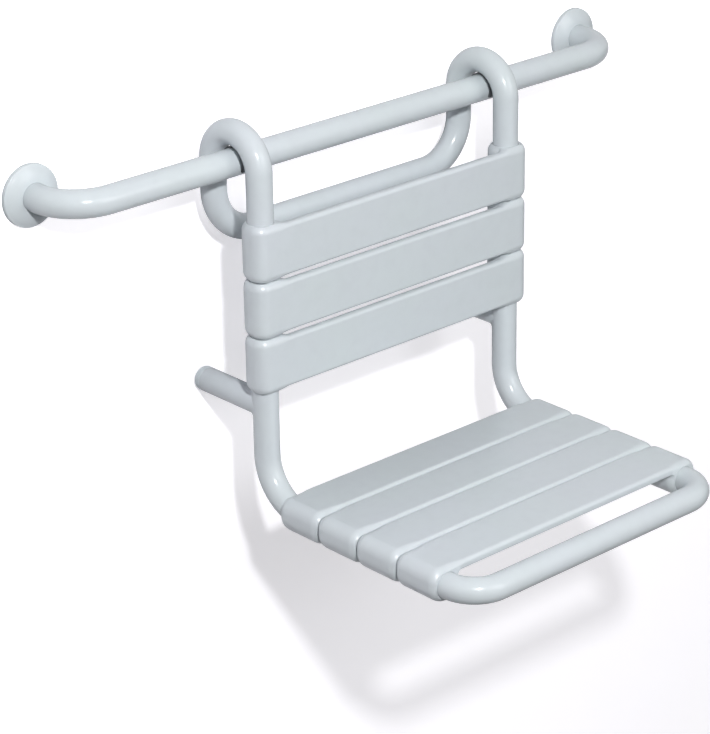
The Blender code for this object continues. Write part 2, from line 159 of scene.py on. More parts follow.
@dataclass
class NodeBench:
    """A node tree with one method that adds any node of its family to it."""

    tree: NodeTree
    family: str = "ShaderNode"

    def add(self, kind: str, sockets: dict[str | int, Any] | None = None, **settings: Any) -> Node:
        """Add a node, set it up and connect it.

        Args:
            kind: The node's type, without the name of its family.
            sockets: What goes into its inputs, by name or index: values, wires, sockets or nodes,
                of which the first output is taken.
            settings: Its properties, set first.

        Returns:
            The new node.
        """
        node = self.tree.nodes.new(self.family + kind)
        for key, value in settings.items():
            setattr(node, key, value)
        for key, value in (sockets or {}).items():
            if isinstance(value, Wire):
                value = value.socket
            elif isinstance(value, Node):
                value = value.outputs[0]
            if isinstance(value, NodeSocket):
                self.tree.links.new(value, node.inputs[key])
            else:
                node.inputs[key].default_value = value
        return node

    def wire(self, kind: str, sockets: dict[str | int, Any] | None = None, output: str | int = 0,
             **settings: Any) -> Wire:
        """Add a node as add() does and return one of its outputs as a wire."""
        return Wire(self, self.add(kind, sockets, **settings).outputs[output])

    def object_place(self) -> Wire:
        """Return the Object coordinates."""
        return self.wire("TexCoord", output="Object")

    def noise(self, place: Wire, scale: float, detail: float = 2.0, roughness: float = 0.5) -> Wire:
        """Return a noise from 0 to 1 about 0.5.

        Args:
            place: Coordinates to read it at.
            scale: Features per metre.
            detail: Octaves.
            roughness: Weight of the finer octaves.

        Returns:
            The noise value.
        """
        return self.wire("TexNoise", {"Vector": place, "Scale": scale, "Detail": detail,
                                      "Roughness": roughness}, noise_dimensions="3D")

    def blend(self, factor: Wire, first: Any, second: Any) -> Wire:
        """Return a mix of two colours, each a wire or an RGB triple."""
        ends = [(*end, 1.0) if isinstance(end, tuple) else end for end in (first, second)]
        return self.wire("Mix", {0: factor, 6: ends[0], 7: ends[1]}, output=2, data_type="RGBA",
                         clamp_factor=True)


def darker(colour: Colour, share: float) -> Colour:
    """Return a share of a colour."""
    return tuple(share * channel for channel in colour)


@dataclass(frozen=True)
class Surface:
    """A material that is made on first use."""

    name: str

    def material(self) -> Material:
        """Return the material."""
        found = bpy.data.materials.get(self.name)
        if found is None:
            found = bpy.data.materials.new(self.name)
            found.use_nodes = True
            found.node_tree.nodes.clear()
            bench = NodeBench(found.node_tree)
            bench.add("OutputMaterial", {"Surface": self.shade(bench)})
        return found

    def shade(self, bench: NodeBench) -> Node:
        """Add the shader's nodes.

        Args:
            bench: Bench of the material's tree.

        Returns:
            The shader.
        """
        raise NotImplementedError


@dataclass(frozen=True)
class Finish(Surface):
    """The finish of a piece, with the record's slot that it belongs to."""

    slot: Slot


@dataclass(frozen=True)
class MouldedPlastic(Finish):
    """Satin moulded plastic with a faint orange peel and clouded tone."""

    cool: Colour
    warm: Colour
    roughness: float
    peel_depth: float
    specular: float = 0.50
    coat: float = 0.0
    coat_roughness: float = 0.06
    speckle_share: float = 0.86

    def shade(self, bench: NodeBench) -> Node:
        """Add the plastic's nodes; see Surface.shade()."""
        place = bench.object_place()
        cloud = bench.noise(place, scale=8.0, detail=3.0)
        mottle = bench.noise(place, scale=70.0, detail=3.0)
        peel = bench.noise(place, scale=340.0, detail=2.0)
        pores = bench.noise(place, scale=2300.0, detail=1.0)
        tone = bench.blend(cloud.swing(2.2) + 0.5, self.cool, self.warm)
        speckled = bench.blend(mottle.swing(0.55, mean=0.42) + pores.swing(0.25), tone,
                               darker(self.cool, self.speckle_share))
        gloss = self.roughness + mottle.swing(0.10) + cloud.swing(0.06) + pores.swing(0.05)
        skin = peel * 0.75 + pores * 0.25
        bump = bench.add("Bump", {"Strength": 0.30, "Distance": self.peel_depth, "Height": skin})
        return bench.add("BsdfPrincipled", {
            "Base Color": speckled, "Roughness": gloss, "Normal": bump, "IOR": 1.50,
            "Specular IOR Level": self.specular, "Coat Weight": self.coat,
            "Coat Roughness": self.coat_roughness})


@dataclass(frozen=True)
class DrawnSteel(Finish):
    """Drawn or turned steel with fine streaks along one axis and faint stains."""

    bright: Colour
    dull: Colour
    roughness: float
    streaks: tuple[float, float, float]

    def shade(self, bench: NodeBench) -> Node:
        """Add the steel's nodes; see Surface.shade()."""
        place = bench.object_place()
        along = bench.wire("Mapping", {"Vector": place, "Scale": self.streaks})
        lines = bench.noise(along, scale=1.0, detail=4.0, roughness=0.6)
        stain = bench.noise(place, scale=45.0, detail=4.0)
        grit = bench.noise(place, scale=900.0, detail=2.0)
        colour = bench.blend(stain.swing(1.4, mean=0.35) + lines.swing(0.5), self.bright, self.dull)
        gloss = self.roughness + stain.swing(0.22) + lines.swing(0.12)
        skin = lines * 0.7 + grit * 0.3
        bump = bench.add("Bump", {"Strength": 0.35, "Distance": 0.00008, "Height": skin})
        return bench.add("BsdfPrincipled", {
            "Base Color": colour, "Roughness": gloss, "Normal": bump, "Metallic": 1.0})


@dataclass(frozen=True)
class SoftRubber(Finish):
    """Matt pale elastomer with a fine pitted skin."""

    pale: Colour
    worn: Colour
    roughness: float = 0.46

    def shade(self, bench: NodeBench) -> Node:
        """Add the rubber's nodes; see Surface.shade()."""
        place = bench.object_place()
        cloud = bench.noise(place, scale=60.0, detail=3.0)
        pits = bench.noise(place, scale=1500.0, detail=2.0)
        colour = bench.blend(cloud.swing(1.2, mean=0.4) + pits.swing(0.4), self.pale, self.worn)
        gloss = self.roughness + cloud.swing(0.15) + pits.swing(0.10)
        bump = bench.add("Bump", {"Strength": 0.4, "Distance": 0.0001, "Height": pits})
        return bench.add("BsdfPrincipled", {
            "Base Color": colour, "Roughness": gloss, "Normal": bump, "IOR": 1.48})


@dataclass(frozen=True)
class StagePaint(Surface):
    """Matt paint of a stage sheet.

    It lets rays through from behind, and from a piece that touches it, so that backs stay lit. Where
    the camera sees it, it adds light to read as white: lift, climb more for each metre above
    climb_from, and up to dip less below dip_from. The climb is painted light that fades the rail's
    shadow on the wall, and the dip is painted shade that deepens the seat's shadow low on the wall.
    """

    colour: Colour
    lift: float
    climb: float = 0.0
    dip: float = 0.0
    climb_from: float = -0.12
    dip_from: float = -0.40
    dip_depth: float = 0.2
    stain_share: float = 0.985
    glow_tint: Colour = (1.0, 0.985, 1.01)
    contact_gap: float = 0.003

    def shade(self, bench: NodeBench) -> Node:
        """Add the paint's nodes; see Surface.shade()."""
        place = bench.object_place()
        stained = darker(self.colour, self.stain_share)
        pale = bench.blend(bench.noise(place, scale=3.0), self.colour, stained)
        height = bench.wire("SeparateXYZ", {0: place}, output="Z")
        # Painted light above climb_from and painted shade below dip_from, seen by the camera only.
        depth = (self.dip_from - height).highest(0.0).lowest(self.dip_depth)
        added = (self.lift + self.climb * (height - self.climb_from).highest(0.0)
                 - self.dip / self.dip_depth * depth)
        matt = bench.add("BsdfDiffuse", {"Color": pale})
        tint = bench.blend(added, BLACK, self.glow_tint)
        glow = bench.add("Emission", {"Color": tint, "Strength": 1.0})
        lit = bench.add("AddShader", {0: matt, 1: glow})
        path = bench.add("LightPath")
        shown = bench.add("MixShader", {0: path.outputs["Is Camera Ray"], 1: matt, 2: lit})
        behind = bench.wire("NewGeometry", output="Backfacing")
        touching = Wire(bench, path.outputs["Ray Length"]).under(self.contact_gap)
        clear = bench.add("BsdfTransparent")
        return bench.add("MixShader", {0: behind.highest(touching), 1: shown, 2: clear})


POLYAMIDE = MouldedPlastic("satin_polyamide", Slot.POLYAMIDE, cool=(0.580, 0.618, 0.655),
                           warm=(0.570, 0.625, 0.640), roughness=0.23, peel_depth=0.00008,
                           specular=0.30, coat=0.15)
SLAT_POLYAMIDE = replace(POLYAMIDE, name="satin_slat_polyamide", roughness=0.32, specular=0.50,
                         coat=0.12, coat_roughness=0.10)
# The clips' near-black colour is painted shade: it stands for the dark shade crescent between each hook
# and the rail.
GLIDE_PLASTIC = MouldedPlastic("dark_glide_plastic", Slot.GLIDE_PLASTIC, cool=(0.090, 0.098, 0.108),
                               warm=(0.105, 0.110, 0.114), roughness=0.42, peel_depth=0.0001)
BUFFER_RUBBER = SoftRubber("pale_buffer_rubber", Slot.BUFFER_RUBBER, pale=(0.56, 0.615, 0.645),
                           worn=(0.50, 0.55, 0.575))
CORE_STEEL = DrawnSteel("drawn_core_steel", Slot.CORE_STEEL, bright=(0.58, 0.585, 0.59),
                        dull=(0.40, 0.405, 0.41), roughness=0.38, streaks=(30.0, 900.0, 900.0))
SCREW_STEEL = DrawnSteel("turned_screw_steel", Slot.SCREW_STEEL, bright=(0.66, 0.655, 0.645),
                         dull=(0.50, 0.495, 0.485), roughness=0.28, streaks=(1200.0, 1200.0, 1200.0))
# The wall's climb is painted light near the rail, and its dip is painted shade under the seat.
WALL_PAINT = StagePaint("wall_paint", (0.76, 0.75, 0.78), lift=0.53, climb=2.6, dip=0.05)
FLOOR_PAINT = StagePaint("floor_paint", (0.30, 0.30, 0.30), lift=0.58)


def turns(steps: int) -> list[float]:
    """Return the angles of a full turn in equal steps, without its end."""
    return [2.0 * pi * step / steps for step in range(steps)]


def quarter(steps: int) -> list[float]:
    """Return the angles of a quarter turn in equal steps, with both ends."""
    return [0.5 * pi * step / steps for step in range(steps + 1)]


@contextmanager
def editing(mesh: Mesh) -> Iterator[bmesh.types.BMesh]:
    """Open a mesh for editing, and write it back at the end.

    Args:
        mesh: The mesh.

    Yields:
        Its editable form.
    """
    work = bmesh.new()
    work.from_mesh(mesh)
    yield work
    work.to_mesh(mesh)
    work.free()


def filleted(corners: Sequence[Sequence[float]], radii: Sequence[float], steps: int = 20,
             closed: bool = False) -> Ring:
    """Return the points of a path with a round quarter bend at each corner.

    Args:
        corners: Corner points, with the two ends of an open path.
        radii: Bend radius at each corner that is rounded.
        steps: Segments in each bend.
        closed: Whether the path runs back to its first corner, which is then rounded too.

    Returns:
        The path's points.
    """
    spots = [Vector(corner) for corner in corners]
    count = len(spots)
    points: Ring = [] if closed else [spots[0]]
    for index, radius in zip(range(count) if closed else range(1, count - 1), radii):
        corner = spots[index]
        inward = (spots[index - 1] - corner).normalized()
        outward = (spots[(index + 1) % count] - corner).normalized()
        centre = corner + radius * (inward + outward)
        for turn in quarter(steps):
            point = centre - radius * (cos(turn) * outward + sin(turn) * inward)
            if not points or (point - points[-1]).length > FIT:
                points.append(point)
    if not closed and (spots[-1] - points[-1]).length > FIT:
        points.append(spots[-1])
    return points


def lofted(name: str, rings: Sequence[Ring], capped: bool = True) -> Mesh:
    """Return a mesh through closed rings of equal length.

    Args:
        name: Name of the mesh.
        rings: Closed rings, in order.
        capped: Whether the first and last rings are filled.

    Returns:
        The mesh, with faces that point outwards.
    """
    mesh = bpy.data.meshes.new(name)
    with editing(mesh) as work:
        rows = [[work.verts.new(point) for point in ring] for ring in rings]
        size = len(rows[0])
        for low, high in zip(rows, rows[1:]):
            for i in range(size):
                work.faces.new((low[i], low[(i + 1) % size], high[(i + 1) % size], high[i]))
        if capped:
            work.faces.new(list(reversed(rows[0])))
            work.faces.new(rows[-1])
        bmesh.ops.remove_doubles(work, verts=work.verts, dist=WELD)
        bmesh.ops.recalc_face_normals(work, faces=work.faces)
    return mesh


def show(name: str, mesh: Mesh) -> Object:
    """Return a new object for a mesh, linked to the scene."""
    item = bpy.data.objects.new(name, mesh)
    bpy.context.scene.collection.objects.link(item)
    return item


def round_cutter(name: str, radius: float, sides: int, length: float, matrix: Matrix) -> Object:
    """Return a round cutter along its own Z.

    Args:
        name: Name of the cutter.
        radius: Its radius.
        sides: Its segments.
        length: Its length about its middle.
        matrix: Its placement.

    Returns:
        The cutter.
    """
    mesh = bpy.data.meshes.new(name)
    with editing(mesh) as work:
        bmesh.ops.create_cone(work, cap_ends=True, segments=sides, radius1=radius, radius2=radius,
                              depth=length, matrix=matrix)
    return show(name, mesh)


def plain(item: Object, name: str) -> Object:
    """Return a plain mesh object made from an object and its modifiers, which is then removed.

    Args:
        item: Object with modifiers.
        name: Name of the plain object.

    Returns:
        The plain object.
    """
    bpy.context.view_layer.update()
    graph = bpy.context.evaluated_depsgraph_get()
    mesh = bpy.data.meshes.new_from_object(item.evaluated_get(graph))
    mesh.name = name
    item.modifiers.clear()
    bpy.data.objects.remove(item, do_unlink=True)
    return show(name, mesh)


def finish_piece(item: Object, finish: Finish, body: Body, nodes: Iterable[str]) -> None:
    """Dress a plain piece, put it on its body and let it stand for CAD nodes.

    Args:
        item: The piece, in the object's frame.
        finish: Its finish.
        body: The body that it rides on.
        nodes: CAD nodes that it replaces.
    """
    item.data.materials.clear()
    item.data.materials.append(finish.material())
    item.data.shade_smooth()
    item.data.set_sharp_from_angle(angle=SMOOTH_ANGLE)
    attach(item, body.value)
    names = list(nodes)
    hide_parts(*names)
    LOG.info("%s: %d faces, for %s", item.name, len(item.data.polygons), ", ".join(names))


def dress_nodes(nodes: dict[str, Object], names: Iterable[str]) -> None:
    """Give carried-over CAD nodes their steel.

    Args:
        nodes: CAD nodes by name.
        names: The nodes to dress.
    """
    for name in names:
        finish = SCREW_STEEL if "screw" in name else CORE_STEEL
        item = nodes[name]
        if not item.material_slots:
            item.data.materials.append(finish.material())
        for slot in item.material_slots:
            slot.material = finish.material()
        LOG.info("%s: %s", name, finish.name)


class GeometryTree:
    """A Geometry Nodes tree that is used as a modifier, with named inputs."""

    def __init__(self, name: str, inputs: dict[str, str]) -> None:
        """Make the tree with inputs for geometry and material, the given inputs and a geometry output.

        Args:
            name: Name of the tree.
            inputs: Type of each input, by name.
        """
        self.tree = bpy.data.node_groups.new(name, "GeometryNodeTree")
        for label, kind in {"Geometry": "Geometry", **inputs, "Material": "Material"}.items():
            self.tree.interface.new_socket(label, in_out="INPUT", socket_type="NodeSocket" + kind)
        self.tree.interface.new_socket("Geometry", in_out="OUTPUT", socket_type="NodeSocketGeometry")
        self.bench = NodeBench(self.tree, "GeometryNode")
        self.given = self.tree.nodes.new("NodeGroupInput")

    def close(self, geometry: Node) -> None:
        """End the tree in Realize Instances and Set Material."""
        real = self.bench.add("RealizeInstances", {"Geometry": geometry})
        material = self.given.outputs["Material"]
        dressed = self.bench.add("SetMaterial", {"Geometry": real, "Material": material})
        self.tree.links.new(dressed.outputs[0], self.tree.nodes.new("NodeGroupOutput").inputs[0])

    def apply(self, item: Object, name: str, values: dict[str, Any]) -> Object:
        """Run the tree on an object and return the result as a plain object.

        Args:
            item: Object whose mesh goes in; it is used up.
            name: Name of the result.
            values: Value of each named input.

        Returns:
            The plain object.
        """
        modifier = item.modifiers.new("nodes", "NODES")
        modifier.node_group = self.tree
        for socket in self.tree.interface.items_tree:
            if socket.in_out == "INPUT" and socket.name in values:
                modifier[socket.identifier] = values[socket.name]
        return plain(item, name)


class TubeSweep(GeometryTree):
    """Sweeps a round tube along a path of edges."""

    def __init__(self) -> None:
        """Build the tree."""
        super().__init__("tube_sweep", {"Radius": "Float", "Sides": "Int"})
        add, given = self.bench.add, self.given.outputs
        path = add("MeshToCurve", {"Mesh": given["Geometry"]})
        ring = add("CurvePrimitiveCircle", {"Resolution": given["Sides"], "Radius": given["Radius"]})
        self.close(add("CurveToMesh", {"Curve": path, "Profile Curve": ring, "Fill Caps": True}))

    def along(self, name: str, points: Ring, radius: float, finish: Finish,
              closed: bool = False) -> Object:
        """Sweep a tube along points.

        Args:
            name: Name of the tube.
            points: Its centre line.
            radius: Its outer radius.
            finish: Its finish.
            closed: Whether it runs back to its start.

        Returns:
            The tube as a plain object.
        """
        count = len(points)
        edges = [(i, i + 1) for i in range(count - 1)]
        if closed:
            edges.append((count - 1, 0))
        mesh = bpy.data.meshes.new(name)
        mesh.from_pydata([tuple(point) for point in points], edges, [])
        made = self.apply(show(name + "_path", mesh), name,
                          {"Radius": radius, "Sides": TUBE_SIDES, "Material": finish.material()})
        with editing(made.data) as work:
            bmesh.ops.recalc_face_normals(work, faces=work.faces)
        return made


class SlatRowTree(GeometryTree):
    """Repeats one slat along a pitch."""

    def __init__(self) -> None:
        """Build the tree."""
        super().__init__("slat_row", {"Count": "Int", "Pitch": "Vector"})
        add, given = self.bench.add, self.given.outputs
        line = add("MeshLine", {"Count": given["Count"], "Offset": given["Pitch"]}, mode="OFFSET")
        self.close(add("InstanceOnPoints", {"Points": line, "Instance": given["Geometry"]}))


class ScrewPairsTree(GeometryTree):
    """Repeats one screw along a pitch and again at the other end, turned half round."""

    def __init__(self) -> None:
        """Build the tree."""
        super().__init__("screw_pairs", {"Count": "Int", "Pitch": "Vector", "First": "Vector",
                                         "Centre": "Vector"})
        add, given = self.bench.add, self.given.outputs
        line = add("MeshLine", {"Count": given["Count"], "Start Location": given["First"],
                                "Offset": given["Pitch"]}, mode="OFFSET")
        row = add("InstanceOnPoints", {"Points": line, "Instance": given["Geometry"]})
        near = add("RealizeInstances", {"Geometry": row})
        far = add("Transform", {"Geometry": near, "Rotation": (0.0, 0.0, pi)})
        both = add("JoinGeometry", {"Geometry": near})
        self.tree.links.new(far.outputs[0], both.inputs["Geometry"])
        self.close(add("Transform", {"Geometry": both, "Translation": given["Centre"]}))


@dataclass
class GrabRail:
    """The wall rail with its two flange covers."""

    radius: float = 0.0165
    leg_x: float = 0.430
    end_y: float = -0.0053
    bend_radius: float = 0.054
    flange_radius: float = 0.0365
    flange_screws: int = 3
    cover_depth: float = 0.0125
    cover_wall: float = 0.0025
    cover_sides: int = 96
    rim_depth: float = 0.0055
    rim_round: float = 0.0016
    rim_steps: int = 6
    # How the dome leaves the rim, in radius and height.
    dome_start: tuple[float, float] = (-0.01, 0.0022)
    dome_power: float = 0.9
    dome_steps: int = 14
    lip: float = 0.0014
    lip_steps: int = 5

    def build_tube(self, sweep: TubeSweep) -> None:
        """Build the rail's plastic sleeve.

        Args:
            sweep: Tree that sweeps tubes.
        """
        x, y = self.leg_x, self.end_y
        points = filleted([(-x, y, 0.0), (-x, RAIL_Y, 0.0), (x, RAIL_Y, 0.0), (x, y, 0.0)],
                          [self.bend_radius] * 2)
        tube = sweep.along("rail_tube", points, self.radius, POLYAMIDE)
        finish_piece(tube, POLYAMIDE, Body.RAIL, ["rail_sleeve"])

    def cover_profile(self) -> list[tuple[float, float]]:
        """Return the flange cover's closed profile, as (radius, height above the wall)."""
        hole = self.radius - FIT
        outer = self.flange_radius
        run, rise = self.dome_start
        corner = Vector((outer, self.rim_depth))
        foot, slope = Vector((outer, 0.0)), Vector((outer + run, self.rim_depth + rise))
        start = corner + (foot - corner).normalized() * self.rim_round
        end = corner + (slope - corner).normalized() * self.rim_round
        points = [(outer, 0.0)]
        for step in range(self.rim_steps + 1):
            t = step / self.rim_steps
            spot = start * (1 - t) ** 2 + corner * (2 * t * (1 - t)) + end * t ** 2
            points.append((spot.x, spot.y))
        inner, top = hole + self.lip, self.cover_depth - EASE
        first_radius, first_height = points[-1]
        for step in range(1, self.dome_steps + 1):
            t = step / self.dome_steps
            climb = sin(0.5 * pi * t) ** self.dome_power
            points.append((first_radius + (inner - first_radius) * t,
                           first_height + (top - first_height) * climb))
        for turn in quarter(self.lip_steps)[1:]:
            points.append((inner - self.lip * sin(turn), self.cover_depth - self.lip * (1 - cos(turn))))
        points.append((hole, self.cover_depth - self.cover_wall))
        points.append((outer - self.cover_wall, self.rim_depth - EASE))
        points.append((outer - self.cover_wall, 0.0))
        return points

    def build_covers(self) -> None:
        """Build the two domed flange covers, turned from their profile."""
        profile = self.cover_profile()
        rings = [[Vector((radius * cos(turn), radius * sin(turn), height))
                  for radius, height in profile] for turn in turns(self.cover_sides)]
        for side in Side:
            name = side.label + "_flange_dome"
            mesh = lofted(name, rings + rings[:1], capped=False)
            mesh.transform(Matrix.Translation((side.value * self.leg_x, 0.0, 0.0))
                           @ Matrix.Rotation(pi / 2, 4, "X"))
            finish_piece(show(name, mesh), POLYAMIDE, Body.RAIL, [side.label + "_flange_cover"])

    @property
    def steel_names(self) -> list[str]:
        """Names of the CAD core, plates and screws behind sleeve and covers."""
        names = ["rail_core"]
        for side in Side:
            names.append(side.label + "_flange_plate")
            names += [f"{side.label}_flange_screw_{index + 1}" for index in range(self.flange_screws)]
        return names


@dataclass
class HookGlides:
    """The two thin clips between the hooks and the rail, whose near-black colour is painted shade."""

    inner: float = 0.0168
    outer: float = 0.0186
    length: float = 0.010
    wrap: float = radians(236.0)
    edge: float = 0.0005
    edge_knee: float = 0.3
    arc_steps: int = 48

    def outline(self, inset: float) -> list[tuple[float, float]]:
        """Return the open ring's outline.

        Args:
            inset: How far it lies inside the full outline.

        Returns:
            (y, z) points about the rail's axis.
        """
        inner = self.inner + inset
        outer = self.outer - inset
        reach = self.wrap / 2 - inset / self.outer
        steps = self.arc_steps
        angles = [pi / 2 + reach * (2.0 * step / steps - 1.0) for step in range(steps + 1)]
        points = [(outer * cos(angle), outer * sin(angle)) for angle in angles]
        return points + [(inner * cos(angle), inner * sin(angle)) for angle in reversed(angles)]

    def build(self) -> None:
        """Build the two clips with eased edges."""
        half = self.length / 2
        knee = self.edge_knee * self.edge
        stops = [(half, self.edge), (half - knee, knee), (half - self.edge, 0.0)]
        for side in Side:
            x = side.value * UPRIGHT_X
            rings = []
            for end in (-1, 1):
                for along, inset in stops if end < 0 else reversed(stops):
                    spots = self.outline(inset)
                    rings.append([Vector((x + end * along, RAIL_Y + y, z)) for y, z in spots])
            name = side.label + "_hook_clip"
            finish_piece(show(name, lofted(name, rings)), GLIDE_PLASTIC, Body.GLIDES,
                         [side.label + "_hook_glide"])


@dataclass
class TubeFrame:
    """The closed loop of bent tube: rear bar, hooks, uprights, arms and front bar."""

    rear_y: float = -0.0333
    hook_top: float = 0.0344
    rear_bar_z: float = -0.10185
    front_y: float = -0.4585
    hook_bend: float = 0.04075
    rear_bend: float = 0.058
    seat_bend: float = 0.060
    front_bend: float = 0.040
    bend_steps: int = 24

    def build(self, sweep: TubeSweep) -> None:
        """Build the loop.

        Args:
            sweep: Tree that sweeps tubes.
        """
        top, hook = self.hook_top, self.hook_bend
        half = [(self.rear_y, self.rear_bar_z, self.rear_bend), (self.rear_y, top, hook),
                (UPRIGHT_Y, top, hook), (UPRIGHT_Y, ARM_Z, self.seat_bend),
                (self.front_y, ARM_Z, self.front_bend)]
        corners = [(-UPRIGHT_X, y, z) for y, z, _ in half]
        corners += [(UPRIGHT_X, y, z) for y, z, _ in reversed(half)]
        bends = [bend for _, _, bend in half]
        points = filleted(corners, bends + bends[::-1], self.bend_steps, closed=True)
        loop = sweep.along("frame_tube", points, TUBE_RADIUS, POLYAMIDE, closed=True)
        finish_piece(loop, POLYAMIDE, Body.SEAT, ["left_side_sleeve", "right_side_sleeve",
                                                  "rear_bar_sleeve", "front_bar_sleeve"])

    @property
    def steel_names(self) -> list[str]:
        """Names of the CAD cores and spigots inside the tube."""
        names = ["rear_bar_core", "front_bar_core"]
        for side in Side:
            names += [f"{side.label}_{kind}" for kind in ("side_core", "rear_spigot", "front_spigot")]
        return names


@dataclass
class WallStandoffs:
    """The two bars from the uprights to the wall, blended into the uprights."""

    radius: float = 0.015
    height_z: float = -0.2886
    bar_end: float = -0.0103
    bar_edge: float = 0.0004
    buffer_length: float = 0.010
    buffer_edge: float = 0.0003
    buffer_round: float = 0.0042
    round_steps: int = 8
    fillet: float = 0.007
    fillet_steps: int = 10
    foot_limit: float = 0.9999
    # How deep the bar's first ring and its fillet's foot lie in the upright.
    root: float = 0.003
    sink: float = 0.00005
    # Where the bar is straight, from the upright's axis.
    straight_from: float = 0.030

    def _ring(self, x: float, radius: float, y: float) -> Ring:
        """Return a ring about the bar's axis."""
        return [Vector((x + radius * cos(turn), y, self.height_z + radius * sin(turn)))
                for turn in turns(TUBE_SIDES)]

    def bar_rings(self, x: float) -> list[Ring]:
        """Return the rings of one bar, from inside its upright to the buffer.

        Args:
            x: Place of the upright.

        Returns:
            The rings.
        """
        rings: list[Ring] = []
        levels = [(0.0, self.root)] + [(turn, self.sink) for turn in quarter(self.fillet_steps)]
        for turn, sunk in levels:
            ring = []
            for angle in turns(TUBE_SIDES):
                blend = self.fillet * sin(angle) ** 2 + EASE
                reach = self.radius + blend * (1.0 - sin(turn))
                side = min(abs(reach * cos(angle)), self.foot_limit * TUBE_RADIUS)
                foot = sqrt(TUBE_RADIUS ** 2 - side ** 2)
                out = foot + blend * (1.0 - cos(turn)) - sunk
                ring.append(Vector((x + reach * cos(angle), UPRIGHT_Y + out,
                                    self.height_z + reach * sin(angle))))
            rings.append(ring)
        rings.append(self._ring(x, self.radius, UPRIGHT_Y + self.straight_from))
        rings.append(self._ring(x, self.radius, self.bar_end - self.bar_edge))
        rings.append(self._ring(x, self.radius - EASE, self.bar_end))
        return rings

    def buffer_rings(self, x: float) -> list[Ring]:
        """Return the rings of one end buffer with its rounded edge.

        Args:
            x: Place of the upright.

        Returns:
            The rings.
        """
        start = -self.buffer_length
        rings = [self._ring(x, self.radius - EASE, start),
                 self._ring(x, self.radius, start + self.buffer_edge)]
        flat = self.radius - self.buffer_round
        for turn in quarter(self.round_steps):
            rings.append(self._ring(x, flat + self.buffer_round * cos(turn),
                                    -self.buffer_round * (1.0 - sin(turn))))
        return rings

    def build(self) -> None:
        """Build both bars and both buffers."""
        for side in Side:
            x = side.value * UPRIGHT_X
            for piece, rings, finish, node in (
                    ("_wall_bar", self.bar_rings(x), POLYAMIDE, "_standoff"),
                    ("_bar_buffer", self.buffer_rings(x), BUFFER_RUBBER, "_wall_buffer")):
                name = side.label + piece
                finish_piece(show(name, lofted(name, rings)), finish, Body.SEAT, [side.label + node])


@dataclass(frozen=True)
class OutlinePoint:
    """A point of a slat's outline with the way out of the slat there."""

    x: float
    z: float
    out_x: float
    out_z: float
    sleeve: float
    on_face: bool

    @classmethod
    def on_arc(cls, x: float, z: float, radius: float, turn: float, sleeve: float = 1.0,
               hollow: bool = False) -> OutlinePoint:
        """Return a point on an arc of the outline.

        Args:
            x: The arc's centre along the slat.
            z: The arc's centre across the slat.
            radius: The arc's radius.
            turn: Angle of the point.
            sleeve: How far it belongs to the sleeve, from 0 to 1.
            hollow: Whether the arc is the hollow between sleeve and panel.

        Returns:
            The point.
        """
        c, s = cos(turn), sin(turn)
        out = -1.0 if hollow else 1.0
        return cls(x + radius * c, z + radius * s, out * c, out * s, sleeve, not hollow)


@dataclass(frozen=True)
class SetScrew:
    """A set screw with its hexagon socket towards +X and its tip at x = 0."""

    radius: float = 0.0025
    length: float = 0.0055
    sides: int = 24
    # (share of the length, share of the radius)
    profile: tuple[tuple[float, float], ...] = ((0.0, 0.55), (0.12, 1.0), (0.90, 1.0), (1.0, 0.88))
    socket_share: float = 0.5
    socket_floor: float = 0.45

    def mesh(self) -> Mesh:
        """Return the screw's mesh."""
        angles = turns(self.sides)
        flats = pi / 3
        socket = [self.socket_share * self.radius / cos((turn + flats / 2) % flats - flats / 2)
                  for turn in angles]
        sections = [(along, [share * self.radius] * self.sides) for along, share in self.profile]
        sections += [(1.0, socket), (self.socket_floor, socket)]
        rings = [[Vector((along * self.length, radius * cos(turn), radius * sin(turn)))
                  for turn, radius in zip(angles, radii)] for along, radii in sections]
        return lofted("set_screw", rings)


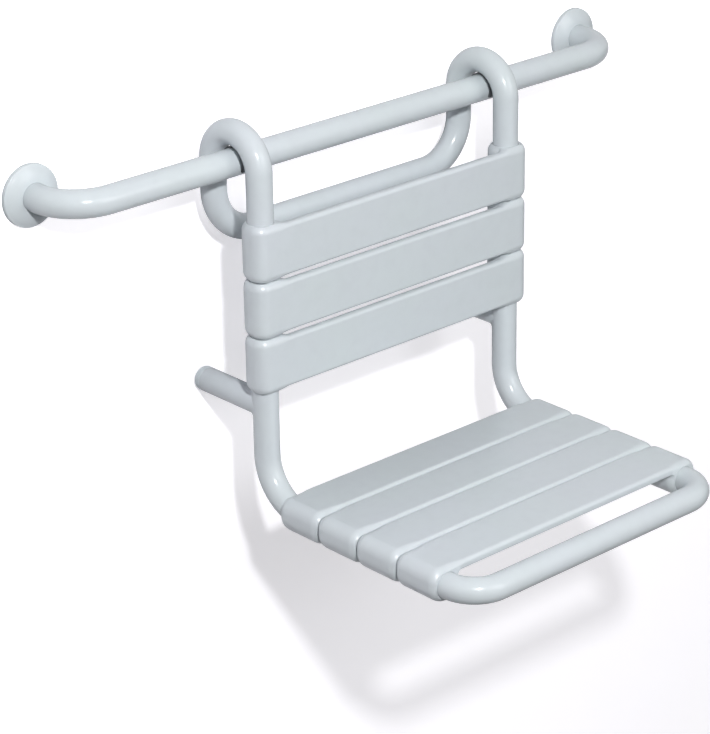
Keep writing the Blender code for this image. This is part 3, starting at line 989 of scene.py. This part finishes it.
@dataclass
class SlatSet:
    """A row of moulded slats whose ends wrap the tubes, with their set screws."""

    prefix: str
    count: int
    pitch: Vector
    matrix: Matrix
    face: float = 0.0216
    width: float = 0.062
    panel: float = 0.0105
    # How much further than the width sleeve and panel reach at each edge.
    sleeve_proud: float = 0.0008
    panel_proud: float = 0.0
    # Radius of each edge, and how far the edge drops from the face.
    sleeve_round: float = 0.012
    sleeve_drop: float = 0.0046
    panel_round: float = 0.005
    panel_drop: float = 0.0040
    under_drop: float = 0.0014
    edge_steps: int = 12
    edge_straight: float = 0.0008
    # Outline of the sleeve, from the panel's middle round the tube and back.
    middle_x: float = 0.04
    panel_blend: float = 0.026
    blend_end: float = 0.006
    blend_steps: int = 13
    sleeve_corner: float = 0.016
    corner_steps: int = 14
    wrap_steps: int = 48
    hollow_round: float = 0.0045
    hollow_end: float = 0.002
    hollow_steps: int = 8
    # Bores for the tubes and holes for the screws, with the lengths of their cutters.
    bore: float = 0.0158
    bore_sides: int = 64
    bore_cut: float = 0.2
    hole_sides: int = 32
    hole_cut: float = 0.014
    screw: SetScrew = SetScrew()

    @property
    def names(self) -> list[str]:
        """Names of the CAD slats."""
        return [f"{self.prefix}_slat_{index + 1}" for index in range(self.count)]

    def outline(self) -> list[OutlinePoint]:
        """Return the slat's full outline along its length, with the tubes' axes at z = 0."""
        right = [OutlinePoint(self.middle_x, self.face, 0.0, 1.0, 0.0, True)]
        begin = UPRIGHT_X - self.panel_blend
        for step in range(self.blend_steps):
            x = begin + self.panel_blend * step / self.blend_steps
            t = min(1.0, (x - begin) / (self.panel_blend - self.blend_end))
            right.append(OutlinePoint(x, self.face, 0.0, 1.0, t * t * (3.0 - 2.0 * t), True))
        corner = self.face - self.sleeve_corner
        for step in range(self.corner_steps + 1):
            turn = 0.5 * pi * (1.0 - step / self.corner_steps)
            right.append(OutlinePoint.on_arc(UPRIGHT_X + corner, corner, self.sleeve_corner, turn))
        centre_z = self.face - self.panel - self.hollow_round
        centre_x = sqrt((self.face + self.hollow_round) ** 2 - centre_z ** 2)
        wrap = 2.0 * pi - atan2(centre_z, -centre_x)
        for step in range(self.wrap_steps + 1):
            right.append(OutlinePoint.on_arc(UPRIGHT_X, 0.0, self.face, -wrap * step / self.wrap_steps))
        first = atan2(-centre_z, centre_x)
        for step in range(1, self.hollow_steps + 1):
            turn = first + (pi / 2 - first) * step / self.hollow_steps
            weight = 0.5 + 0.5 * cos(pi * step / self.hollow_steps)
            right.append(OutlinePoint.on_arc(UPRIGHT_X - centre_x, centre_z, self.hollow_round, turn,
                                             weight, hollow=True))
        for x in (UPRIGHT_X - centre_x - self.hollow_end, self.middle_x):
            right.append(OutlinePoint(x, self.face - self.panel, 0.0, -1.0, 0.0, False))
        return right + [replace(point, x=-point.x, out_x=-point.out_x) for point in reversed(right)]

    def solid(self) -> Mesh:
        """Return one slat without bores: width along Y, face towards +Z."""
        sleeve_turn = acos(1.0 - self.sleeve_drop / self.sleeve_round)
        panel_turn = acos(1.0 - self.panel_drop / self.panel_round)
        outline = self.outline()
        near: list[Ring] = []
        for stop in range(self.edge_steps + 2):
            left = 1.0 - min(stop, self.edge_steps) / self.edge_steps
            hold = self.edge_straight if stop > self.edge_steps else 0.0
            a, b = sleeve_turn * left, panel_turn * left
            sleeve_in = self.sleeve_round * (1.0 - cos(a))
            sleeve_y = self.sleeve_round * (sin(sleeve_turn) - sin(a)) + hold - self.sleeve_proud
            face_in = self.panel_round * (1.0 - cos(b))
            panel_y = self.panel_round * (sin(panel_turn) - sin(b)) + hold - self.panel_proud
            ring = []
            for point in outline:
                panel_in = face_in if point.on_face else self.under_drop * left ** 3
                inset = point.sleeve * sleeve_in + (1.0 - point.sleeve) * panel_in
                y = point.sleeve * sleeve_y + (1.0 - point.sleeve) * panel_y
                ring.append(Vector((point.x - inset * point.out_x, y, point.z - inset * point.out_z)))
            near.append(ring)
        far = [[Vector((point.x, self.width - point.y, point.z)) for point in ring]
               for ring in reversed(near)]
        mesh = lofted(self.prefix + "_slat", near + far)
        with editing(mesh) as work:
            bmesh.ops.triangulate(work, faces=[face for face in work.faces if len(face.verts) > 4])
        return mesh

    def build_slats(self, row: SlatRowTree) -> None:
        """Build the row of slats.

        Args:
            row: Tree that repeats a slat.
        """
        item = show(self.prefix + "_slat_blank", self.solid())
        cutters = []
        for side in Side:
            for kind, x, axis, radius, sides, length in (
                    ("bore", UPRIGHT_X, "X", self.bore, self.bore_sides, self.bore_cut),
                    ("hole", UPRIGHT_X - self.face, "Y", self.screw.radius + FIT, self.hole_sides,
                     self.hole_cut)):
                place = Matrix.Translation((side.value * x, self.width / 2, 0.0))
                cutters.append(round_cutter(f"{self.prefix}_{kind}_{side.label}", radius, sides, length,
                                            place @ Matrix.Rotation(pi / 2, 4, axis)))
        for cutter in cutters:
            cut = item.modifiers.new(cutter.name, "BOOLEAN")
            cut.operation = "DIFFERENCE"
            cut.solver = "EXACT"
            cut.object = cutter
        blank = plain(item, self.prefix + "_slat_bored")
        for cutter in cutters:
            bpy.data.objects.remove(cutter, do_unlink=True)
        made = row.apply(blank, self.prefix + "_slats", {"Count": self.count, "Pitch": self.pitch,
                                                        "Material": SLAT_POLYAMIDE.material()})
        made.data.transform(self.matrix)
        finish_piece(made, SLAT_POLYAMIDE, Body.SEAT, self.names)

    def build_screws(self, pairs: ScrewPairsTree) -> None:
        """Build the set screws of the row.

        Args:
            pairs: Tree that repeats a screw.
        """
        mesh = self.screw.mesh()
        mesh.transform(Matrix.Translation((-(UPRIGHT_X - self.bore), 0.0, 0.0)))
        turn = self.matrix.to_3x3()
        mesh.transform(turn.to_4x4())
        step = turn @ self.pitch
        last = self.count - 1
        middle = self.matrix @ (Vector((0.0, self.width / 2, 0.0)) + self.pitch * (last / 2))
        made = pairs.apply(show(self.prefix + "_screw_blank", mesh), self.prefix + "_set_screws",
                           {"Count": self.count, "Pitch": step, "First": step * last * -0.5,
                            "Centre": middle, "Material": SCREW_STEEL.material()})
        finish_piece(made, SCREW_STEEL, Body.SEAT,
                     [f"{name}_{side.label}_set_screw" for name in self.names for side in Side])


def slat_rows() -> tuple[SlatSet, SlatSet]:
    """Return the rows of the back, from the top down, and of the seat, from the rear to the front."""
    back_z, back_pitch = -0.127, -0.0688
    seat_y, seat_pitch = -0.220, -0.0655
    upright = Matrix.Translation((0.0, UPRIGHT_Y, back_z)) @ Matrix.Rotation(pi / 2, 4, "X")
    flat = Matrix.Translation((0.0, seat_y, ARM_Z))
    return (SlatSet("back", 3, Vector((0.0, back_pitch, 0.0)), upright, sleeve_proud=0.0026),
            SlatSet("seat", 4, Vector((0.0, seat_pitch, 0.0)), flat, panel_proud=0.0006))


@dataclass(frozen=True)
class Lamp:
    """A round lamp."""

    name: str
    place: tuple[float, float, float]
    size: float
    power: float
    aim: tuple[float, float, float] = (0.0, -0.20, -0.22)

    def build(self) -> None:
        """Add the lamp."""
        data = bpy.data.lights.new(self.name, "AREA")
        data.shape = "DISK"
        data.size = self.size
        data.energy = self.power
        lamp = bpy.data.objects.new(self.name, data)
        lamp.location = self.place
        lamp.rotation_mode = "QUATERNION"
        lamp.rotation_quaternion = (Vector(self.aim) - Vector(self.place)).to_track_quat("-Z", "Y")
        bpy.context.scene.collection.objects.link(lamp)


@dataclass
class Studio:
    """Wall, floor, lamps and camera."""

    camera_place: tuple[float, float, float] = (-2.113854, -2.403108, 1.037260)
    yaw: float = radians(41.967)
    pitch: float = radians(23.214)
    roll: float = radians(-0.933)
    focal_pixels: float = 2811.138
    image_width: int = 710
    sensor_width: float = 36.0
    clip: tuple[float, float] = (0.05, 100.0)
    floor_z: float = -1.30
    wall_y: float = 0.0005
    sheet_end: float = 24.0
    lamps: tuple[Lamp, ...] = (Lamp("key_lamp", (-1.323, -2.318, 1.442), 0.18, 70.0),
                               Lamp("soft_lamp", (1.20, -4.20, 1.60), 2.6, 62.0))
    # The surround's light at the horizon, and how much more comes from straight above.
    surround: float = 0.15
    surround_climb: float = 0.05
    surround_tint: Colour = (0.96, 0.98, 1.0)

    def build_camera(self) -> None:
        """Place the camera at the photograph's angle."""
        data = bpy.data.cameras.new("photo_camera")
        data.sensor_fit = "HORIZONTAL"
        data.sensor_width = self.sensor_width
        data.lens = self.sensor_width * self.focal_pixels / self.image_width
        data.clip_start, data.clip_end = self.clip
        ahead = Vector((sin(self.yaw) * cos(self.pitch),
                        cos(self.yaw) * cos(self.pitch), -sin(self.pitch)))
        right = ahead.cross(Vector((0.0, 0.0, 1.0))).normalized()
        up = right.cross(ahead)
        c, s = cos(self.roll), sin(self.roll)
        level_right = c * right + s * up
        level_up = c * up - s * right
        turn = Matrix((level_right, level_up, -ahead)).transposed()
        camera = bpy.data.objects.new("photo_camera", data)
        camera.matrix_world = Matrix.Translation(self.camera_place) @ turn.to_4x4()
        bpy.context.scene.collection.objects.link(camera)
        bpy.context.scene.camera = camera

    def _sheet(self, name: str, corners: Sequence[Sequence[float]], paint: StagePaint) -> None:
        """Add a flat stage sheet."""
        mesh = bpy.data.meshes.new(name)
        mesh.from_pydata(corners, [], [(0, 1, 2, 3)])
        mesh.materials.append(paint.material())
        show(name, mesh)

    def build_stage(self) -> None:
        """Add the pale wall that the rail hangs on and the pale floor."""
        y, z, end = self.wall_y, self.floor_z, self.sheet_end
        self._sheet("wall", [(-end, y, z), (end, y, z), (end, y, end), (-end, y, end)], WALL_PAINT)
        self._sheet("floor", [(-end, -end, z), (end, -end, z), (end, end, z), (-end, end, z)],
                    FLOOR_PAINT)

    def build_light(self) -> None:
        """Add the lamps and a soft surround, which is white where it is seen or mirrored."""
        for lamp in self.lamps:
            lamp.build()
        world = bpy.data.worlds.new("surround")
        world.use_nodes = True
        world.node_tree.nodes.clear()
        bench = NodeBench(world.node_tree)
        path = bench.add("LightPath")
        camera, glossy, clear = (Wire(bench, path.outputs[f"Is {kind} Ray"])
                                 for kind in ("Camera", "Glossy", "Transmission"))
        seen = camera.highest(glossy).highest(clear)
        way = bench.wire("TexCoord", output="Generated")
        height = bench.wire("SeparateXYZ", {0: way}, output="Z")
        tint = bench.blend(self.surround + self.surround_climb * height, BLACK, self.surround_tint)
        soft = bench.add("Background", {"Color": tint, "Strength": 1.0})
        white = bench.add("Background", {"Color": (1.0, 1.0, 1.0, 1.0), "Strength": 1.0})
        both = bench.add("MixShader", {0: seen, 1: soft, 2: white})
        bench.add("OutputWorld", {"Surface": both})
        bpy.context.scene.world = world
        bpy.context.scene.view_settings.view_transform = "Standard"


def main() -> None:
    """Build the sub-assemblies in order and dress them."""
    logging.basicConfig(level=logging.INFO, format="%(name)s: %(message)s")
    studio = Studio()
    studio.build_camera()
    sweep = TubeSweep()
    row = SlatRowTree()
    pairs = ScrewPairsTree()
    rail = GrabRail()
    rail.build_tube(sweep)
    rail.build_covers()
    HookGlides().build()
    tube_frame = TubeFrame()
    tube_frame.build(sweep)
    dress_nodes(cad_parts, rail.steel_names + tube_frame.steel_names)
    WallStandoffs().build()
    for slats in slat_rows():
        slats.build_slats(row)
        slats.build_screws(pairs)
    studio.build_stage()
    studio.build_light()


if __name__ == "__main__":
    main()
